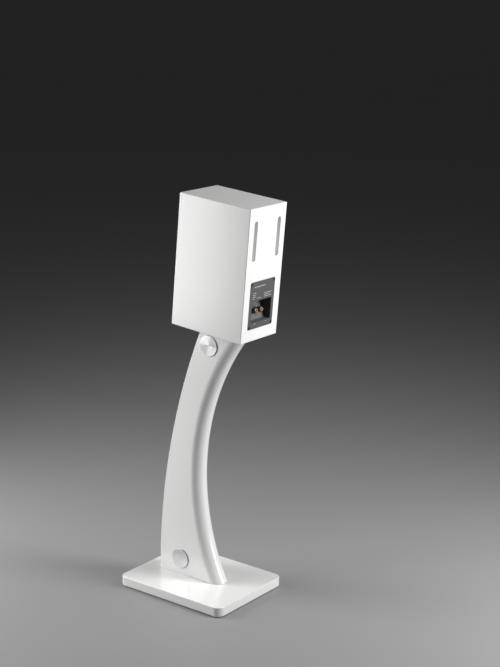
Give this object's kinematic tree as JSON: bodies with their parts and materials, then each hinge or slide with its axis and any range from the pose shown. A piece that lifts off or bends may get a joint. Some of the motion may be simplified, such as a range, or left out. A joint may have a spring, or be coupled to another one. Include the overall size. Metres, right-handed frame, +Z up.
{
  "type": "stand-mounted loudspeaker",
  "caption": "Compact two-way loudspeaker with twin rear slot ports and recessed terminals, leaning back on a curved one-piece floor stand with a flat base.",
  "frame": {"origin": "on the floor, under the middle of the whole object's box", "axes": "+Z up; -Y is the way the drivers face; +Y is the terminal side; +X is the speaker's own right seen from behind"},
  "size_m": [0.24, 0.3313, 0.942],
  "materials": {
    "white_lacquer": "high-gloss white lacquer over medium-density fibreboard",
    "turned_aluminium": "face-turned aluminium with fine concentric tool marks",
    "zinc_steel": "zinc-plated steel",
    "dark_steel": "black-oxide steel",
    "white_steel": "white powder-coated steel",
    "foot_rubber": "matt black rubber",
    "grey_plate": "satin grey painted metal with printed rules",
    "black_plastic": "fine-textured black moulding",
    "gold_plate": "gold-plated brass",
    "red_band": "glossy red plastic",
    "black_band": "glossy black plastic",
    "circuit_board": "green glass-fibre board with copper tracks",
    "copper_winding": "enamelled copper wire, wound",
    "film_capacitor": "yellow film wrap with resin ends",
    "resistor_ceramic": "white cement ceramic",
    "wadding": "soft white polyester wadding",
    "lead_sheath": "grey cable sheath",
    "ferrite": "dark sintered ferrite",
    "cone_fibre": "coated pulp cone with faint radial fibres",
    "surround_rubber": "smooth butyl half-roll",
    "silk": "coated silk weave",
    "spider_cloth": "resin-dipped woven cloth"
  },
  "bodies": {
    "speaker_and_stand": {"barrel_nut_lower": "zinc_steel", "barrel_nut_upper": "zinc_steel", "base_board": "white_lacquer", "base_bolt": "zinc_steel", "base_pad_front_left": "foot_rubber", "base_pad_front_right": "foot_rubber", "base_pad_rear_left": "foot_rubber", "base_pad_rear_right": "foot_rubber", "cabinet_shell": "white_lacquer", "capacitor_large": "film_capacitor", "capacitor_small": "film_capacitor", "column": "white_lacquer", "cover_disc_lower_left": "turned_aluminium", "cover_disc_lower_right": "turned_aluminium", "cover_disc_upper_left": "turned_aluminium", "cover_disc_upper_right": "turned_aluminium", "crossover_board": "circuit_board", "damping_pad": "wadding", "front_baffle": "white_lacquer", "head_bolt": "zinc_steel", "head_plate": "white_steel", "head_plate_screw_1": "zinc_steel", "head_plate_screw_2": "zinc_steel", "head_plate_screw_3": "zinc_steel", "head_plate_screw_4": "zinc_steel", "port_duct_left": "black_plastic", "port_duct_right": "black_plastic", "post_stem_black": "gold_plate", "post_stem_red": "gold_plate", "resistor": "resistor_ceramic", "terminal_cup": "black_plastic", "terminal_plate": "grey_plate", "terminal_screw_1": "dark_steel", "terminal_screw_2": "dark_steel", "terminal_screw_3": "dark_steel", "terminal_screw_4": "dark_steel", "tweeter_faceplate": "black_plastic", "tweeter_inductor": "copper_winding", "tweeter_lead": "lead_sheath", "tweeter_magnet": "ferrite", "woofer_basket": "dark_steel", "woofer_inductor": "copper_winding", "woofer_lead": "lead_sheath", "woofer_magnet": "ferrite", "woofer_screw_1": "dark_steel", "woofer_screw_2": "dark_steel", "woofer_screw_3": "dark_steel", "woofer_screw_4": "dark_steel", "woofer_spider": "spider_cloth", "woofer_surround": "surround_rubber", "woofer_top_plate": "zinc_steel", "woofer_yoke": "zinc_steel"},
    "woofer_cone_body": {"woofer_cone": "cone_fibre", "woofer_dust_cap": "silk", "voice_coil": "copper_winding"},
    "tweeter_dome_body": {"tweeter_dome": "silk"},
    "red_post_travel": {"post_band_red": "red_band"},
    "red_post_cap": {"post_cap_red": "gold_plate"},
    "black_post_travel": {"post_band_black": "black_band"},
    "black_post_cap": {"post_cap_black": "gold_plate"}
  },
  "joints": [
    {"name": "woofer_cone_stroke", "type": "slide", "parent": "speaker_and_stand", "child": "woofer_cone_body", "axis": [0, -0.9969, 0.0785], "range_m": [-0.004, 0.004], "stiffness_N_per_m": 800, "deforming": ["woofer_surround", "woofer_spider"]},
    {"name": "tweeter_dome_stroke", "type": "slide", "parent": "speaker_and_stand", "child": "tweeter_dome_body", "axis": [0, -0.9969, 0.0785], "range_m": [-0.0003, 0.0003], "stiffness_N_per_m": 150},
    {"name": "red_post_travel", "type": "slide", "parent": "speaker_and_stand", "child": "red_post_travel", "axis": [0, 0.9715, 0.2372], "range_m": [0, 0.0041]},
    {"name": "red_post_turn", "type": "hinge", "parent": "red_post_travel", "child": "red_post_cap", "pos_m": [0.0095, 0.12723, 0.69062], "axis": [0, 0.9715, 0.2372], "range_deg": [0, 1440]},
    {"name": "black_post_travel", "type": "slide", "parent": "speaker_and_stand", "child": "black_post_travel", "axis": [0, 0.9715, 0.2372], "range_m": [0, 0.0041]},
    {"name": "black_post_turn", "type": "hinge", "parent": "black_post_travel", "child": "black_post_cap", "pos_m": [-0.0095, 0.12723, 0.69062], "axis": [0, 0.9715, 0.2372], "range_deg": [0, 1440]}
  ],
  "couplings": [
    {"joint": "red_post_travel", "follows": "red_post_turn", "m_per_rad": 0.00015915},
    {"joint": "black_post_travel", "follows": "black_post_turn", "m_per_rad": 0.00015915}
  ]
}
